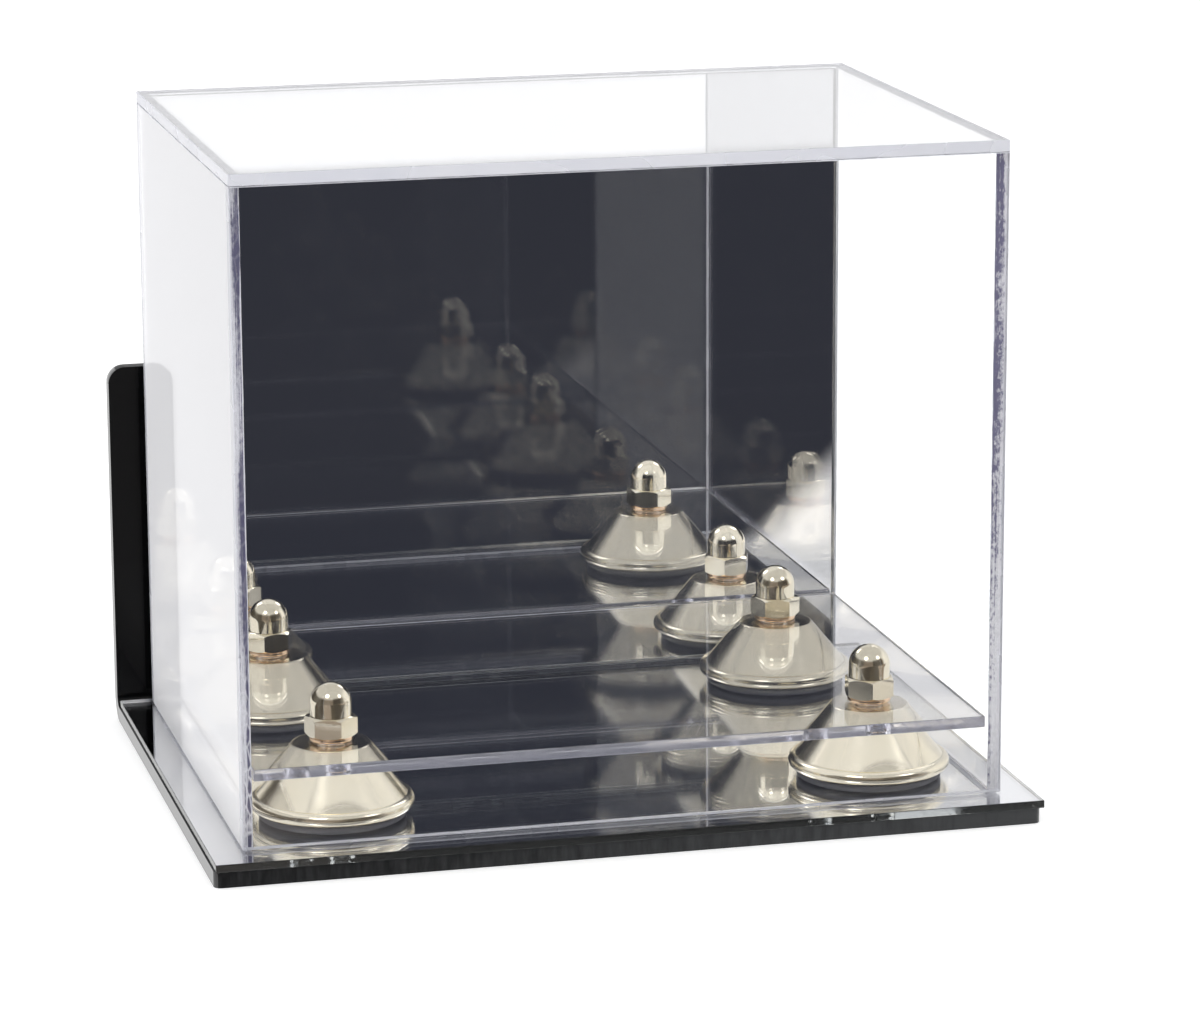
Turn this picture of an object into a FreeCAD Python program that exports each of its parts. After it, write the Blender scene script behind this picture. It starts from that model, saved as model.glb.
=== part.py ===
"""Clear display case on a mirrored base with a black L-shaped wall bracket.

A lift-off cover of five cemented clear panels stands on the base. Four gold risers carry a clear
platform inside it. One bolt through each riser clamps bracket, base, riser and platform together
under an acorn nut.

Millimetres. +X is to the right seen from the front, +Y to the back and +Z up. The origin is the
middle of the underside of the whole case.
"""
import FreeCAD
import Part
import Sketcher
import math
import os

SIZES = [
    ("overall_height", 171.45, "table to the cover's top face"),
    ("base_width", 209.55, "mirror base, side to side"),
    ("base_depth", 152.4, "mirror base, front to back"),
    ("base_thickness", 2.0, "mirror base sheet"),
    ("bracket_thickness", 4.0, "black bracket sheet"),
    ("bracket_bend", 3.0, "inner radius of the bracket's bend"),
    ("bracket_proud", 0.3, "bracket proud of the mirror base at the left"),
    ("bracket_short_right", 0.6, "bracket short of the mirror base at the right"),
    ("bracket_short_front", 0.5, "bracket short of the mirror base in front"),
    ("bracket_height", 96.9, "table to the top of the bracket's upright"),
    ("bracket_corner", 4.5, "rounding of the upright's two free corners"),
    ("upright_short_right", 10.4, "bend and upright short of the foot at the right"),
    ("foot_corner", 2.0, "rounding of the foot's two front corners"),
    ("wall_hole_radius", 2.5, "clearance hole for a wall screw"),
    ("wall_hole_spacing", 101.6, "between the two wall screw holes"),
    ("wall_hole_drop", 18.9, "wall screw holes below the top of the upright"),
    ("panel_thickness", 3.0, "each clear panel of the cover"),
    ("cover_side_margin", 8.275, "cover in from each side edge of the mirror base"),
    ("cover_front_margin", 9.7, "cover in from the front edge of the mirror base"),
    ("cover_rear_margin", 2.7, "cover in from the rear edge of the mirror base"),
    ("mirror_thickness", 2.0, "back mirror sheet"),
    ("mirror_gap", 0.3, "back mirror short of the panels beside and above it"),
    ("mirror_lift", 1.0, "back mirror clear of the base"),
    ("platform_thickness", 3.0, "clear platform plate"),
    ("platform_gap", 0.5, "platform clear of the cover all round"),
    ("riser_edge_x", 23.5, "riser axis in from the platform's side edge"),
    ("riser_edge_y", 22.7, "riser axis in from the platform's front and rear edges"),
    ("riser_height", 14.4, "riser from its pad to the platform"),
    ("riser_radius", 20.5, "outermost radius of the riser's beaded rim"),
    ("riser_bead", 1.8, "radius of the rim's half-round bead"),
    ("riser_top_radius", 9.8, "flat top of the riser"),
    ("riser_top_round", 0.8, "rounding where the cone meets the flat top"),
    ("riser_wall", 1.2, "spun metal of the riser"),
    ("pad_radius", 18.4, "pad under the riser"),
    ("pad_thickness", 2.0, "pad under the riser"),
    ("bolt_radius", 3.175, "quarter-inch bolt"),
    ("bolt_clearance", 0.2, "radial room round the bolt where it passes through"),
    ("bolt_head_radius", 5.6, "countersunk head"),
    ("bolt_head_height", 2.8, "cone of the countersunk head"),
    ("bolt_recess", 0.3, "head sunk below the bracket's underside"),
    ("bolt_reach", 9.0, "bolt above its washer"),
    ("bolt_tip_chamfer", 0.6, "chamfered tip of the bolt"),
    ("socket_radius", 2.3, "hexagon socket in the bolt head, centre to corner"),
    ("socket_depth", 1.8, "hexagon socket in the bolt head"),
    ("washer_radius", 5.5, "washer under the nut"),
    ("washer_thickness", 1.0, "washer under the nut"),
    ("washer_clearance", 0.08, "radial running clearance of the washer on the bolt"),
    ("nut_flats", 11.5, "acorn nut across flats"),
    ("nut_hex_height", 5.2, "hexagon of the acorn nut"),
    ("nut_chamfer_start", 0.2, "corner chamfer starts this far inside the flats"),
    ("nut_height", 13.5, "acorn nut, overall"),
    ("nut_dome_radius", 5.25, "dome of the acorn nut"),
    ("nut_clearance", 0.05, "radial running clearance of the nut on the bolt"),
    ("nut_bore_room", 0.8, "bore beyond the bolt's tip"),
    ("nut_angle_front_left", 42.0, "degrees that each nut is turned as tightened"),
    ("nut_angle_front_right", 21.0, "degrees"),
    ("nut_angle_rear_left", 10.0, "degrees"),
    ("nut_angle_rear_right", 50.0, "degrees"),
]

HEX_SIDES = 6
CHAMFER_SLOPE = math.tan(math.radians(30))
CORNERS = {
    "front_left": (-1, -1),
    "front_right": (1, -1),
    "rear_left": (-1, 1),
    "rear_right": (1, 1),
}


class Dim:
    """A number together with the sheet expression that gives it."""

    def __init__(self, text, value):
        self.text = text
        self.value = value

    def joined(self, sign, other, value):
        return Dim(f"({self.text} {sign} {other.text})", value)

    def __add__(self, other):
        other = as_dim(other)
        return self.joined("+", other, self.value + other.value)

    def __sub__(self, other):
        other = as_dim(other)
        return self.joined("-", other, self.value - other.value)

    def __mul__(self, other):
        other = as_dim(other)
        return self.joined("*", other, self.value * other.value)

    def __truediv__(self, other):
        other = as_dim(other)
        return self.joined("/", other, self.value / other.value)

    def __neg__(self):
        return Dim(f"(-1 * {self.text})", -self.value)


def as_dim(number):
    return number if isinstance(number, Dim) else Dim(f"({number:.9f})", float(number))


class Sizes:
    """The sheet's driving dimensions, each read as a Dim by its alias."""

    def __init__(self, document):
        sheet = document.addObject("Spreadsheet::Sheet", "sizes")
        for row, (alias, number, meaning) in enumerate(SIZES, start=1):
            sheet.set(f"A{row}", meaning)
            sheet.set(f"B{row}", str(number))
            sheet.setAlias(f"B{row}", alias)
        document.recompute()
        for alias, _, _ in SIZES:
            setattr(self, alias, Dim(f"sizes.{alias}", float(getattr(sheet, alias))))


doc = FreeCAD.newDocument("display_case")
size = Sizes(doc)
nodes = []
zero = as_dim(0)

# Heights of the stack on the bracket's foot, from the table up
base_top = size.bracket_thickness + size.base_thickness
pad_top = base_top + size.pad_thickness
platform_bottom = pad_top + size.riser_height
platform_top = platform_bottom + size.platform_thickness
nut_seat = platform_top + size.washer_thickness
panel_top = size.overall_height - size.panel_thickness
panel_height = panel_top - base_top

# Places side to side: the base and all that stands on it share a middle, the bracket has its own
overall_width = size.base_width + size.bracket_proud
base_middle_x = size.bracket_proud / 2
bracket_middle_x = -(size.bracket_short_right / 2)
bracket_width = overall_width - size.bracket_short_right

# Places front to back: the case's depth is the base, the bend's run and the upright
overall_depth = size.base_depth + size.bracket_bend + size.bracket_thickness
case_front = -(overall_depth / 2)
case_rear = overall_depth / 2
base_middle_y = case_front + size.base_depth / 2

# The cover stands inside the edges of the base, with the back mirror against its rear panel
cover_width = size.base_width - size.cover_side_margin * 2
cover_depth = size.base_depth - size.cover_front_margin - size.cover_rear_margin
cover_front_y = case_front + size.cover_front_margin
cover_middle_y = cover_front_y + cover_depth / 2
inner_front_y = cover_front_y + size.panel_thickness
inner_rear_y = cover_front_y + cover_depth - size.panel_thickness
mirror_face_y = inner_rear_y - size.mirror_thickness
inner_width = cover_width - size.panel_thickness * 2

# The platform fills the clear space inside the cover, and the risers follow the platform
platform_width = inner_width - size.platform_gap * 2
platform_depth = mirror_face_y - inner_front_y - size.platform_gap * 2
platform_middle_y = (inner_front_y + mirror_face_y) / 2
riser_reach_x = platform_width / 2 - size.riser_edge_x
riser_reach_y = platform_depth / 2 - size.riser_edge_y
bolt_hole_radius = size.bolt_radius + size.bolt_clearance


def riser_place(corner):
    """Where the riser at one corner of the platform stands."""
    side, end = CORNERS[corner]
    return base_middle_x + riser_reach_x * side, platform_middle_y + riser_reach_y * end


def bind(thing, prop, dim):
    """Ties a property of a document object to the sheet."""
    thing.setExpression(prop, dim.text)


def place(thing, x, y, z):
    """Ties an object's place to the sheet."""
    bind(thing, "Placement.Base.x", x)
    bind(thing, "Placement.Base.y", y)
    bind(thing, "Placement.Base.z", z)


def new_body(label):
    body = doc.addObject("PartDesign::Body", label)
    body.Label = label
    nodes.append(body)
    return body


def new_sketch(body, role):
    """A sketch on one of the body's own origin planes."""
    plane = next(f for f in body.Origin.OriginFeatures if f.Role == role)
    sketch = body.newObject("Sketcher::SketchObject", f"{body.Name}_sketch")
    sketch.AttachmentSupport = (plane, [""])
    sketch.MapMode = "FlatFace"
    return sketch


def constrain(sketch, kind, *where, dim):
    """Adds one dimension to a sketch and ties it to the sheet."""
    index = sketch.addConstraint(Sketcher.Constraint(kind, *where, dim.value))
    sketch.setExpression(f"Constraints[{index}]", dim.text)


def pin(sketch, geometry, end, point):
    """Fixes a line's end or a circle's centre from the sketch's origin."""
    constrain(sketch, "DistanceX", -1, 1, geometry, end, dim=point[0])
    constrain(sketch, "DistanceY", -1, 1, geometry, end, dim=point[1])


def vector(point):
    return FreeCAD.Vector(point[0].value, point[1].value, 0)


def draw_arc(sketch, start, end, centre, radius):
    """An arc of under half a circle. Returns its geometry index and which of its ends is the start."""
    to_start = vector(start) - vector(centre)
    to_end = vector(end) - vector(centre)
    forward = to_start.cross(to_end).z > 0
    first, last = (to_start, to_end) if forward else (to_end, to_start)
    angles = [math.atan2(spoke.y, spoke.x) for spoke in (first, last)]
    if angles[1] < angles[0]:
        angles[1] += 2 * math.pi
    circle = Part.Circle(vector(centre), FreeCAD.Vector(0, 0, 1), radius.value)
    index = sketch.addGeometry(Part.ArcOfCircle(circle, *angles), False)
    constrain(sketch, "Radius", index, dim=radius)
    return index, 1 if forward else 2


def draw_outline(sketch, points, arcs=None):
    """A closed outline. arcs gives, by a point's index, centre and radius of the arc that leaves it."""
    arcs = arcs or {}
    segments = []
    for i, start in enumerate(points):
        end = points[(i + 1) % len(points)]
        if i in arcs:
            segments.append(draw_arc(sketch, start, end, *arcs[i]))
        else:
            line = Part.LineSegment(vector(start), vector(end))
            segments.append((sketch.addGeometry(line, False), 1))
    for i, (index, first) in enumerate(segments):
        pin(sketch, index, first, points[i])
        before, before_first = segments[i - 1]
        sketch.addConstraint(Sketcher.Constraint("Coincident", before, 3 - before_first, index, first))


def draw_rectangle(sketch, width, depth):
    """A rectangle about the sketch's origin."""
    x, y = width / 2, depth / 2
    draw_outline(sketch, [(-x, -y), (x, -y), (x, y), (-x, y)])


def draw_circle(sketch, radius, centre=(zero, zero)):
    circle = Part.Circle(vector(centre), FreeCAD.Vector(0, 0, 1), radius.value)
    index = sketch.addGeometry(circle, False)
    constrain(sketch, "Radius", index, dim=radius)
    pin(sketch, index, 3, centre)


def pad(body, sketch, length, symmetric=False):
    feature = body.newObject("PartDesign::Pad", f"{body.Name}_pad")
    feature.Profile = sketch
    feature.SideType = "Symmetric" if symmetric else "One side"
    bind(feature, "Length", length)
    return feature


def turn(body, sketch, kind="Revolution"):
    """Revolves a sketch about its upright axis, to add material or, as a Groove, to cut it."""
    feature = body.newObject(f"PartDesign::{kind}", f"{body.Name}_{kind.lower()}")
    feature.Profile = sketch
    feature.ReferenceAxis = (sketch, ["V_Axis"])
    feature.Angle = 360
    return feature


def round_edges(body, feature, radius, wanted):
    """Rounds the edges of a feature that the test picks."""
    doc.recompute()
    names = [f"Edge{i}" for i, edge in enumerate(feature.Shape.Edges, start=1) if wanted(edge)]
    fillet = body.newObject("PartDesign::Fillet", f"{body.Name}_fillet")
    fillet.Base = (feature, names)
    bind(fillet, "Radius", radius)
    return fillet


def cut(body, kind, where, **sizes):
    """Cuts a box, cylinder, cone or prism that stands upright at a place in the body."""
    feature = body.newObject(f"PartDesign::Subtractive{kind}", f"{body.Name}_{kind.lower()}")
    for prop, dim in sizes.items():
        bind(feature, prop, dim)
    place(feature, *where)
    return feature


def near(number, dim):
    return abs(number - dim.value) < 1e-4


def make_wall_bracket():
    """One sheet bent to an L: the foot under the mirror base and a narrower upright against the wall."""
    body = new_body("wall_bracket")
    thick, bend = size.bracket_thickness, size.bracket_bend
    outer_bend = bend + thick
    foot_front = case_front + size.bracket_short_front
    upright_face = case_rear - thick
    profile = new_sketch(body, "YZ_Plane")
    points = [
        (foot_front, zero),
        (case_rear - outer_bend, zero),
        (case_rear, outer_bend),
        (case_rear, size.bracket_height),
        (upright_face, size.bracket_height),
        (upright_face, outer_bend),
        (upright_face - bend, thick),
        (foot_front, thick),
    ]
    bend_centre = (case_rear - outer_bend, outer_bend)
    draw_outline(profile, points, {1: (bend_centre, outer_bend), 5: (bend_centre, bend)})
    pad(body, profile, bracket_width, symmetric=True)
    notch = (bracket_width / 2 - size.upright_short_right, case_rear - outer_bend, zero)
    sheet = cut(body, "Box", notch, Length=size.upright_short_right, Width=outer_bend, Height=size.bracket_height)

    def upright_corner(edge):
        ends = [vertex.Point for vertex in edge.Vertexes]
        return all(near(p.z, size.bracket_height) for p in ends) and near(abs(ends[0].y - ends[-1].y), thick)

    def front_corner(edge):
        ends = [vertex.Point for vertex in edge.Vertexes]
        return all(near(p.y, foot_front) for p in ends) and near(abs(ends[0].z - ends[-1].z), thick)

    sheet = round_edges(body, sheet, size.bracket_corner, upright_corner)
    round_edges(body, sheet, size.foot_corner, front_corner)
    for corner in CORNERS:
        x, y = riser_place(corner)
        x = x - bracket_middle_x
        head_radius = size.bolt_head_radius + size.bolt_clearance
        cut(body, "Cylinder", (x, y, zero), Radius=bolt_hole_radius, Height=thick)
        cut(body, "Cylinder", (x, y, zero), Radius=head_radius, Height=size.bolt_recess)
        cut(body, "Cone", (x, y, size.bolt_recess), Radius1=head_radius, Radius2=bolt_hole_radius,
            Height=size.bolt_head_height)
    for side in (-1, 1):
        where = (size.wall_hole_spacing * (side / 2), upright_face, size.bracket_height - size.wall_hole_drop)
        hole = cut(body, "Cylinder", where, Radius=size.wall_hole_radius, Height=thick)
        hole.Placement.Rotation = FreeCAD.Rotation(FreeCAD.Vector(1, 0, 0), -90)
    place(body, bracket_middle_x, zero, zero)


def make_drilled_sheet(label, width, depth, thickness, middle_y, bottom):
    """A flat sheet with a clearance hole for each riser's bolt."""
    body = new_body(label)
    outline = new_sketch(body, "XY_Plane")
    draw_rectangle(outline, width, depth)
    for corner in CORNERS:
        x, y = riser_place(corner)
        draw_circle(outline, bolt_hole_radius, (x - base_middle_x, y - middle_y))
    pad(body, outline, thickness)
    place(body, base_middle_x, middle_y, bottom)


def make_ring(label, outer, inner, thickness, corner, bottom):
    """A flat ring round one riser's bolt."""
    body = new_body(label)
    outline = new_sketch(body, "XY_Plane")
    draw_circle(outline, outer)
    draw_circle(outline, inner)
    pad(body, outline, thickness)
    place(body, *riser_place(corner), bottom)


def make_riser(corner):
    """A hollow spun cone with a half-round bead for a rim and a flat top under the platform."""
    body = new_body(f"riser_{corner}")
    bead, wall, top = size.riser_bead, size.riser_wall, size.riser_height
    foot = size.riser_radius - bead
    profile = new_sketch(body, "XZ_Plane")
    points = [
        (foot, zero),
        (size.riser_radius, bead),
        (foot, bead * 2),
        (size.riser_top_radius, top),
        (bolt_hole_radius, top),
        (bolt_hole_radius, top - wall),
        (size.riser_top_radius - wall / 2, top - wall),
        (foot - wall, bead * 2 - wall / 3),
        (foot - wall, zero),
    ]
    bead_centre = (foot, bead)
    draw_outline(profile, points, {0: (bead_centre, bead), 1: (bead_centre, bead)})
    shell = turn(body, profile)

    def top_rim(edge):
        box = edge.BoundBox
        return near(box.ZMin, top) and near(box.ZMax, top) and near(box.XMax, size.riser_top_radius)

    round_edges(body, shell, size.riser_top_round, top_rim)
    place(body, *riser_place(corner), pad_top)


def make_bolt(corner):
    """A countersunk bolt with a hexagon socket, from the bracket's underside into the nut."""
    body = new_body(f"riser_bolt_{corner}")
    radius, chamfer, start = size.bolt_radius, size.bolt_tip_chamfer, size.bolt_recess
    tip = nut_seat + size.bolt_reach
    profile = new_sketch(body, "XZ_Plane")
    draw_outline(profile, [
        (zero, start),
        (size.bolt_head_radius, start),
        (radius, start + size.bolt_head_height),
        (radius, tip - chamfer),
        (radius - chamfer, tip),
        (zero, tip),
    ])
    turn(body, profile)
    socket = cut(body, "Prism", (zero, zero, start), Circumradius=size.socket_radius, Height=size.socket_depth)
    socket.Polygon = HEX_SIDES
    place(body, *riser_place(corner), zero)


def make_nut(corner):
    """An acorn nut: a hexagon with chamfered corners, a round-topped dome and a blind bore."""
    body = new_body(f"acorn_nut_{corner}")
    corner_radius = size.nut_flats / math.sqrt(3)
    hexagon = new_sketch(body, "XY_Plane")
    spokes = [math.radians(360 / HEX_SIDES * i) for i in range(HEX_SIDES)]
    draw_outline(hexagon, [(corner_radius * math.cos(a), corner_radius * math.sin(a)) for a in spokes])
    pad(body, hexagon, size.nut_hex_height)

    chamfers = new_sketch(body, "XZ_Plane")
    inner = size.nut_flats / 2 - size.nut_chamfer_start
    outer = corner_radius + size.nut_chamfer_start
    drop = (outer - inner) * CHAMFER_SLOPE
    upper = size.nut_hex_height
    draw_outline(chamfers, [(inner, zero), (outer, zero), (outer, drop)])
    draw_outline(chamfers, [(inner, upper), (outer, upper - drop), (outer, upper)])
    turn(body, chamfers, "Groove")

    dome = new_sketch(body, "XZ_Plane")
    radius = size.nut_dome_radius
    shoulder = size.nut_height - radius
    points = [(zero, upper), (radius, upper), (radius, shoulder), (zero, size.nut_height)]
    draw_outline(dome, points, {2: ((zero, shoulder), radius)})
    turn(body, dome)
    cut(body, "Cylinder", (zero, zero, zero), Radius=size.bolt_radius + size.nut_clearance,
        Height=size.bolt_reach + size.nut_bore_room)
    place(body, *riser_place(corner), nut_seat)
    angle = getattr(size, f"nut_angle_{corner}")
    bind(body, "Placement.Rotation.Angle", angle)


def make_panel(label, width, depth, height, x, y, bottom):
    """An upright or flat sheet, placed by its middle from the middle of the base."""
    body = new_body(label)
    outline = new_sketch(body, "XY_Plane")
    draw_rectangle(outline, width, depth)
    pad(body, outline, height)
    place(body, base_middle_x + x, y, bottom)


def make_cover():
    """Five panels: the top lies on the walls, and front and rear cover the ends of the side walls."""
    thick = size.panel_thickness
    across, along = cover_width, cover_depth
    middle_y = cover_middle_y
    half_gap_y = (along - thick) / 2
    side_x = (across - thick) / 2
    make_panel("cover_front", across, thick, panel_height, zero, middle_y - half_gap_y, base_top)
    make_panel("cover_rear", across, thick, panel_height, zero, middle_y + half_gap_y, base_top)
    make_panel("cover_left", thick, along - thick * 2, panel_height, -side_x, middle_y, base_top)
    make_panel("cover_right", thick, along - thick * 2, panel_height, side_x, middle_y, base_top)
    make_panel("cover_top", across, along, thick, zero, middle_y, panel_top)
    make_panel("back_mirror", inner_width - size.mirror_gap * 2, size.mirror_thickness,
               panel_height - size.mirror_lift - size.mirror_gap,
               zero, inner_rear_y - size.mirror_thickness / 2, base_top + size.mirror_lift)


def check_and_write():
    """Writes each sub-part once every feature has computed and every shape is sound."""
    doc.recompute()
    failed = [thing.Name for thing in doc.Objects if {"Invalid", "Error"} & set(thing.State)]
    unsound = [body.Label for body in nodes if body.Shape.isNull() or not body.Shape.isValid()]
    if failed or unsound:
        raise RuntimeError(f"failed features: {failed}, unsound shapes: {unsound}")
    os.makedirs("parts", exist_ok=True)
    for body in nodes:
        body.Shape.exportStep(f"parts/{body.Label}.step")
        box = body.Shape.BoundBox
        print(f"{body.Label}: {len(body.Shape.Solids)} solid, {body.Shape.Volume:.1f} mm3, "
              f"x {box.XMin:.2f} to {box.XMax:.2f}, y {box.YMin:.2f} to {box.YMax:.2f}, "
              f"z {box.ZMin:.2f} to {box.ZMax:.2f}")


make_wall_bracket()
make_drilled_sheet("base_mirror", size.base_width, size.base_depth, size.base_thickness,
                   base_middle_y, size.bracket_thickness)
for corner_name in CORNERS:
    make_ring(f"riser_pad_{corner_name}", size.pad_radius, bolt_hole_radius, size.pad_thickness,
              corner_name, base_top)
    make_riser(corner_name)
    make_bolt(corner_name)
    make_ring(f"washer_{corner_name}", size.washer_radius, size.bolt_radius + size.washer_clearance,
              size.washer_thickness, corner_name, platform_top)
    make_nut(corner_name)
make_drilled_sheet("platform", platform_width, platform_depth, size.platform_thickness,
                   platform_middle_y, platform_bottom)
make_cover()
check_and_write()
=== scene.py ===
"""Looks of the clear display case: acrylic, mirrors, gold plate and the white studio round it.

Metres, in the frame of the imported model: +X to the right seen from the front, +Y to the back, +Z up.
"""
import math

import bmesh
import bpy
from mathutils import Matrix, Vector


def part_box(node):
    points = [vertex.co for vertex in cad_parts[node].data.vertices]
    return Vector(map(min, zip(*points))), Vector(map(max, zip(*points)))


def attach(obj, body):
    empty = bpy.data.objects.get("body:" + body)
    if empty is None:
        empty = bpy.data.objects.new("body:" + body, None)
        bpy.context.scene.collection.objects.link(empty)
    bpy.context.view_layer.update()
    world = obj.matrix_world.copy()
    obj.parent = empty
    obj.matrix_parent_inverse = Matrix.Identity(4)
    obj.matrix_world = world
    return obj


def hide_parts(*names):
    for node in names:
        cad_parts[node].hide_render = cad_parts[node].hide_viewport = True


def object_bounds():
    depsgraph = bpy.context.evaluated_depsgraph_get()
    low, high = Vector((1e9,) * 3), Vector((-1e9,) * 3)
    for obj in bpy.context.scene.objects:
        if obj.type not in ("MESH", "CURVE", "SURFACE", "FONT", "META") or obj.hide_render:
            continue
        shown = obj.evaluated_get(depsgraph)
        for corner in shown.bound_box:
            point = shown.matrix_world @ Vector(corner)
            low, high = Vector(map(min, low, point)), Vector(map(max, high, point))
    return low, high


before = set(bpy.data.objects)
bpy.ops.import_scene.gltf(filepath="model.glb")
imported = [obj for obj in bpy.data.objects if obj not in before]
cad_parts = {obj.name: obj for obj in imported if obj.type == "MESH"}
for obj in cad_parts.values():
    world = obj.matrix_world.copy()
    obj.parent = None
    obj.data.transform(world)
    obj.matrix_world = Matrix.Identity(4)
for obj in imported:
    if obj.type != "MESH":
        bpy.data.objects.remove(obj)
cad_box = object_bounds()

MM = 0.001
CORNERS = ("front_left", "front_right", "rear_left", "rear_right")

# Gaps that keep clear faces apart where sheets are cemented or rest on each other
SHEET_GAP = 0.04 * MM
FILM_GAP = 0.01 * MM

# Points nearer than WELD are one point, and faces that meet at more than SHARP meet at a sharp edge
WELD = 0.001 * MM
SHARP = math.radians(25)

# Refraction of clear and black acrylic
ACRYLIC = 1.49

# Ranges that are spread: the one where most of a noise lies, and a whole share
NOISE = (0.3, 0.7)
WHOLE = (0, 1)


class Wiring:
    """Short forms for adding and linking nodes."""

    def __init__(self, tree):
        self.tree = tree

    def add(self, kind, inputs=None, **settings):
        """A node with its settings, and a value or a link for each input that is given."""
        made = self.tree.nodes.new(kind)
        for key, value in settings.items():
            setattr(made, key, value)
        for key, value in (inputs or {}).items():
            if isinstance(value, bpy.types.NodeSocket):
                self.tree.links.new(value, made.inputs[key])
            else:
                made.inputs[key].default_value = value
        return made

    def calculate(self, operation, first, second):
        return self.add("ShaderNodeMath", {0: first, 1: second}, operation=operation).outputs[0]

    def plus(self, first, second):
        return self.calculate("ADD", first, second)

    def times(self, first, second):
        return self.calculate("MULTIPLY", first, second)

    def blend(self, factor, first, second):
        """The first shader at a factor of 0, the second at 1."""
        return self.add("ShaderNodeMixShader", {0: factor, 1: first, 2: second}).outputs[0]


class Finish(Wiring):
    """A material whose Principled shader takes its detail from procedural textures."""

    def __init__(self, name, values):
        self.material = bpy.data.materials.new(name)
        self.material.use_nodes = True
        super().__init__(self.material.node_tree)
        self.shader = self.tree.nodes["Principled BSDF"]
        self.output = self.tree.nodes["Material Output"]
        self.place = self.add("ShaderNodeTexCoord").outputs["Object"]
        for socket, value in values.items():
            self.shader.inputs[socket].default_value = value

    def drive(self, socket, source):
        self.tree.links.new(source, self.shader.inputs[socket])

    def axes(self):
        """The place on the object, as X, Y and Z."""
        return self.add("ShaderNodeSeparateXYZ", {0: self.place}).outputs

    def stretched(self, scale):
        """The place on the object, stretched by a scale along each axis."""
        return self.add("ShaderNodeMapping", {"Vector": self.place, "Scale": scale}).outputs["Vector"]

    def noise(self, scale, detail=2.0, rough=0.5, stretch=(1, 1, 1)):
        inputs = {"Vector": self.stretched(stretch), "Scale": scale, "Detail": detail, "Roughness": rough}
        return self.add("ShaderNodeTexNoise", inputs).outputs["Fac"]

    def spots(self, scale):
        """How far a point is from the nearest of many scattered spots."""
        inputs = {"Vector": self.place, "Scale": scale}
        return self.add("ShaderNodeTexVoronoi", inputs).outputs["Distance"]

    def cracks(self, scale, stretch):
        """How far a point is from the borders of a crackled pattern."""
        inputs = {"Vector": self.stretched(stretch), "Scale": scale}
        return self.add("ShaderNodeTexVoronoi", inputs, feature="DISTANCE_TO_EDGE").outputs["Distance"]

    def spread(self, source, span, to):
        """A range of a source mapped to another range."""
        inputs = {"Value": source, "From Min": span[0], "From Max": span[1], "To Min": to[0], "To Max": to[1]}
        return self.add("ShaderNodeMapRange", inputs).outputs["Result"]

    def tint(self, source, first, second):
        """A colour between two, by a factor."""
        mix = self.add("ShaderNodeMix", data_type="RGBA")
        self.tree.links.new(source, mix.inputs["Factor"])
        ends = [socket for socket in mix.inputs if socket.type == "RGBA"]
        ends[0].default_value = (*first, 1)
        ends[1].default_value = (*second, 1)
        return next(socket for socket in mix.outputs if socket.type == "RGBA")

    def bump(self, height, strength, distance):
        inputs = {"Height": height, "Strength": strength, "Distance": distance}
        self.drive("Normal", self.add("ShaderNodeBump", inputs).outputs["Normal"])

    def mixed_in(self, share, other):
        """Mixes another shader into what the surface shows so far."""
        surface = self.output.inputs["Surface"]
        shown = surface.links[0].from_socket
        self.tree.links.new(self.blend(share, shown, other), surface)

    def milky_aslant(self, colour, power, most):
        """A haze of fine marks that shows only where the surface is seen at a low angle."""
        facing = self.add("ShaderNodeLayerWeight", {"Blend": 0.5}).outputs["Facing"]
        share = self.spread(self.calculate("POWER", facing, power), WHOLE, (0, most))
        self.mixed_in(share, self.add("ShaderNodeBsdfDiffuse", {"Color": (*colour, 1)}).outputs[0])

    def lets_lamps_through(self, colour):
        """Lamps shine through the clear sheet as through a plain tint."""
        lamp = self.add("ShaderNodeLightPath").outputs["Is Shadow Ray"]
        self.mixed_in(lamp, self.add("ShaderNodeBsdfTransparent", {"Color": (*colour, 1)}).outputs[0])


# What the edges of clear sheets leave of a lamp's light
EDGE_SHADE = (0.8, 0.8, 0.85)


def clear_acrylic(name, wiped):
    """Clear sheet. A wiped one has fine marks that turn it milky at a low angle."""
    finish = Finish(name, {
        "Base Color": (0.992, 0.993, 0.998, 1), "Transmission Weight": 1.0, "IOR": ACRYLIC, "Roughness": 0.0})
    waves = finish.noise(18.0, detail=1.0)
    finish.bump(waves, strength=0.006, distance=0.4 * MM)
    if wiped:
        finish.milky_aslant((0.93, 0.928, 0.95), power=6.0, most=1.8)
    finish.lets_lamps_through((0.95, 0.955, 0.97))
    return finish.material


def acrylic_edge():
    """Sawn and scraped edge of a clear sheet, frosted in long patches."""
    finish = Finish("acrylic_edge", {"Transmission Weight": 0.35, "IOR": ACRYLIC, "Roughness": 0.28})
    patches = finish.spread(finish.noise(60.0, detail=1.0), NOISE, WHOLE)
    finish.drive("Base Color", finish.tint(patches, (0.82, 0.83, 0.9), (0.91, 0.91, 0.95)))
    finish.drive("Roughness", finish.spread(patches, WHOLE, (0.24, 0.32)))
    finish.bump(finish.noise(500.0), strength=0.05, distance=0.05 * MM)
    finish.lets_lamps_through(EDGE_SHADE)
    return finish.material


def polished_edge():
    """Flame-polished edge of a clear sheet, slightly wavy and lilac where looked into."""
    finish = Finish("polished_edge", {
        "Base Color": (0.9, 0.9, 0.98, 1), "Transmission Weight": 0.89, "IOR": ACRYLIC, "Roughness": 0.06})
    waves = finish.noise(110.0)
    finish.drive("Roughness", finish.spread(waves, (0.35, 0.65), (0.03, 0.16)))
    finish.bump(waves, strength=0.12, distance=0.2 * MM)
    finish.lets_lamps_through(EDGE_SHADE)
    return finish.material


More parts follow.
